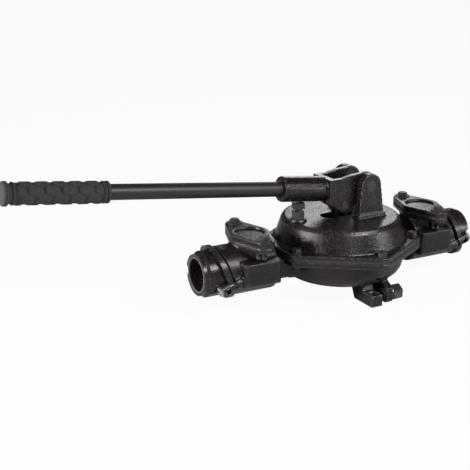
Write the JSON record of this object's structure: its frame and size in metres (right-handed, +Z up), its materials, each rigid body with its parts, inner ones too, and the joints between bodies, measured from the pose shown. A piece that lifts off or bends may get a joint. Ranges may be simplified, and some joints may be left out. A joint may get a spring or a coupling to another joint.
{
  "type": "lever diaphragm hand pump",
  "caption": "Lever-operated diaphragm hand pump: round bonnet with an eared lever fork, long handle with rubber grip, two valve chests and in-line ports.",
  "frame": {"origin": "midway between the two fixing holes, on the base plane under the bonnet's axis", "axes": "+Z up along the bonnet's axis; +X along the line of flow from the inlet port to the outlet port, away from the grip; the lever swings in the XZ plane"},
  "size_m": [0.7586, 0.249, 0.2399],
  "materials": {
    "black_cast_paint": "semi-gloss black coating over rough sand-cast metal",
    "blackened_steel": "black-finished steel hardware, slightly worn",
    "zinc_plate": "bright zinc-plated steel",
    "black_rubber": "matte black rubber sheet",
    "bronze": "machined bronze",
    "black_tube_paint": "smooth semi-gloss black paint on drawn tube",
    "grip_rubber": "moulded matte rubber with a raised leaf relief"
  },
  "bodies": {
    "root": {"pump_body": "black_cast_paint", "bonnet": "black_cast_paint", "inlet_valve_cover": "black_cast_paint", "outlet_valve_cover": "black_cast_paint", "inlet_port_spigot": "black_cast_paint", "outlet_port_spigot": "black_cast_paint", "flange_bolts": "blackened_steel", "flange_washers": "blackened_steel", "flange_nuts": "blackened_steel", "cover_bolts": "blackened_steel", "cover_washers": "blackened_steel", "stop_bolt": "blackened_steel", "stop_lock_nut": "blackened_steel", "pivot_pin": "blackened_steel", "inlet_port_bolts": "zinc_plate", "outlet_port_bolts": "zinc_plate", "foot_clamp_screw": "zinc_plate", "diaphragm": "black_rubber", "inlet_cover_gasket": "black_rubber", "outlet_cover_gasket": "black_rubber", "inlet_port_seal": "black_rubber", "outlet_port_seal": "black_rubber", "inlet_valve_seat": "bronze", "outlet_valve_seat": "bronze", "inlet_flap_pin": "bronze", "outlet_flap_pin": "bronze"},
    "lever": {"lever_casting": "black_cast_paint", "pivot_bushes": "blackened_steel", "handle_tube": "black_tube_paint", "handle_grip": "grip_rubber", "rod_pin": "blackened_steel"},
    "rod": {"diaphragm_rod": "zinc_plate", "upper_plate": "zinc_plate", "lower_plate": "zinc_plate", "rod_nut": "zinc_plate"},
    "inlet_flap": {"inlet_flap": "black_rubber", "inlet_flap_plate": "bronze", "inlet_flap_screw": "bronze"},
    "outlet_flap": {"outlet_flap": "black_rubber", "outlet_flap_plate": "bronze", "outlet_flap_screw": "bronze"}
  },
  "joints": [
    {"name": "lever_swing", "type": "hinge", "parent": "root", "child": "lever", "pos_m": [0.028, 0, 0.173], "axis": [0, 1, 0], "range_deg": [0, 40], "deforming": ["diaphragm"]},
    {"name": "rod_tilt", "type": "hinge", "parent": "lever", "child": "rod", "pos_m": [-0.009, 0, 0.143], "axis": [0, 1, 0], "range_deg": [-48, 0]},
    {"name": "inlet_flap_swing", "type": "hinge", "parent": "root", "child": "inlet_flap", "pos_m": [-0.20213, 0, 0.08742], "axis": [0, -1, 0], "range_deg": [0, 50]},
    {"name": "outlet_flap_swing", "type": "hinge", "parent": "root", "child": "outlet_flap", "pos_m": [0.1445, 0, 0.08742], "axis": [0, -1, 0], "range_deg": [0, 50]}
  ],
  "couplings": [
    {"joint": "rod_tilt", "follows": "lever_swing", "ratio": -1.19}
  ]
}
